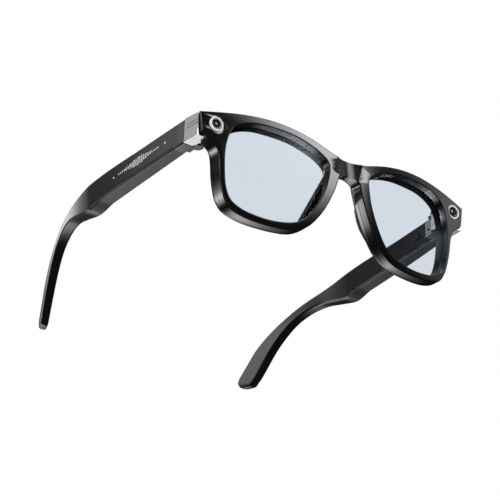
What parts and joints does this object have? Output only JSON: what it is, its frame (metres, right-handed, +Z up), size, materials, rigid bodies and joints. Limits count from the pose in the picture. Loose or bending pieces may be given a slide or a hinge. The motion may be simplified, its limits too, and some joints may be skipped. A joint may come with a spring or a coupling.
{
  "type": "smart glasses",
  "caption": "Smart glasses with a curved black front, tinted lenses, a corner camera and a capture light, and folding temples holding the electronics.",
  "frame": {"origin": "on the table plane, midway between the wearer's right and left, midway between the front of the bridge and the ends of the tips", "axes": "+Z up, +Y from the front to the tips (the wearer looks along -Y), +X towards the wearer's left"},
  "size_m": [0.156, 0.1677, 0.0506],
  "materials": {
    "frame_black": "polished black, moulded",
    "temple_black": "satin-polished black, moulded",
    "cover_black": "fine matt black",
    "module_black": "matt black",
    "control_black": "polished black",
    "lens_tint": "light blue-grey tint, polished",
    "dark_glass": "dark cover glass, polished",
    "bright_ring": "bright white ring",
    "diffuser": "milky light guide",
    "satin_metal": "satin, bead blasted",
    "steel": "plain",
    "gold_plate": "gold plated",
    "circuit_board": "green solder mask",
    "flex_film": "amber polyimide film",
    "battery_foil": "foil pouch",
    "white_print": "white print"
  },
  "bodies": {
    "front": {"rim_front": "frame_black", "rim_back": "frame_black", "lens_right": "lens_tint", "lens_left": "lens_tint", "nose_pad_right": "frame_black", "nose_pad_left": "frame_black", "camera_ring": "bright_ring", "camera_window": "dark_glass", "camera_barrel": "module_black", "camera_board": "circuit_board", "light_ring": "bright_ring", "light_window": "dark_glass", "light_guide": "diffuser", "light_board": "circuit_board", "endpiece_right": "satin_metal", "endpiece_left": "satin_metal", "hinge_leaf_right": "satin_metal", "hinge_leaf_left": "satin_metal", "endpiece_screws": "steel", "brow_flex": "flex_film", "bridge_mic": "steel", "charge_pad": "module_black", "charge_contacts": "gold_plate"},
    "temple_right": {"temple_shell_right": "temple_black", "temple_cover_right": "cover_black", "temple_hinge_right": "satin_metal", "hinge_pin_right": "steel", "temple_screws_right": "steel", "battery_right": "battery_foil", "speaker_right": "steel", "speaker_mesh_right": "steel", "tip_core_right": "steel", "temple_mic_right": "steel", "main_board": "circuit_board", "touch_sensor": "flex_film", "wave_marks": "white_print", "button_switch": "steel"},
    "temple_left": {"temple_shell_left": "temple_black", "temple_cover_left": "cover_black", "temple_hinge_left": "satin_metal", "hinge_pin_left": "steel", "temple_screws_left": "steel", "battery_left": "battery_foil", "speaker_left": "steel", "speaker_mesh_left": "steel", "tip_core_left": "steel", "temple_mic_left": "steel", "power_board": "circuit_board", "power_switch": "steel"},
    "capture_button": {"capture_button": "control_black"},
    "power_slider": {"power_slider": "control_black"}
  },
  "joints": [
    {"name": "right_temple_fold", "type": "hinge", "parent": "front", "child": "temple_right", "pos_m": [-0.0666, -0.0622, 0.0415], "axis": [0, 0, -1], "range_deg": [0, 90]},
    {"name": "left_temple_fold", "type": "hinge", "parent": "front", "child": "temple_left", "pos_m": [0.0666, -0.0622, 0.0415], "axis": [0, 0, 1], "range_deg": [0, 74]},
    {"name": "capture_button_press", "type": "slide", "parent": "temple_right", "child": "capture_button", "axis": [0.0021, -0.0558, -0.9984], "range_m": [0, 0.0004], "stiffness_N_per_m": 400, "springref_m": -0.0005},
    {"name": "power_slider_slide", "type": "slide", "parent": "temple_left", "child": "power_slider", "axis": [0.0383, 0.9977, -0.0558], "range_m": [0, 0.0019]}
  ]
}
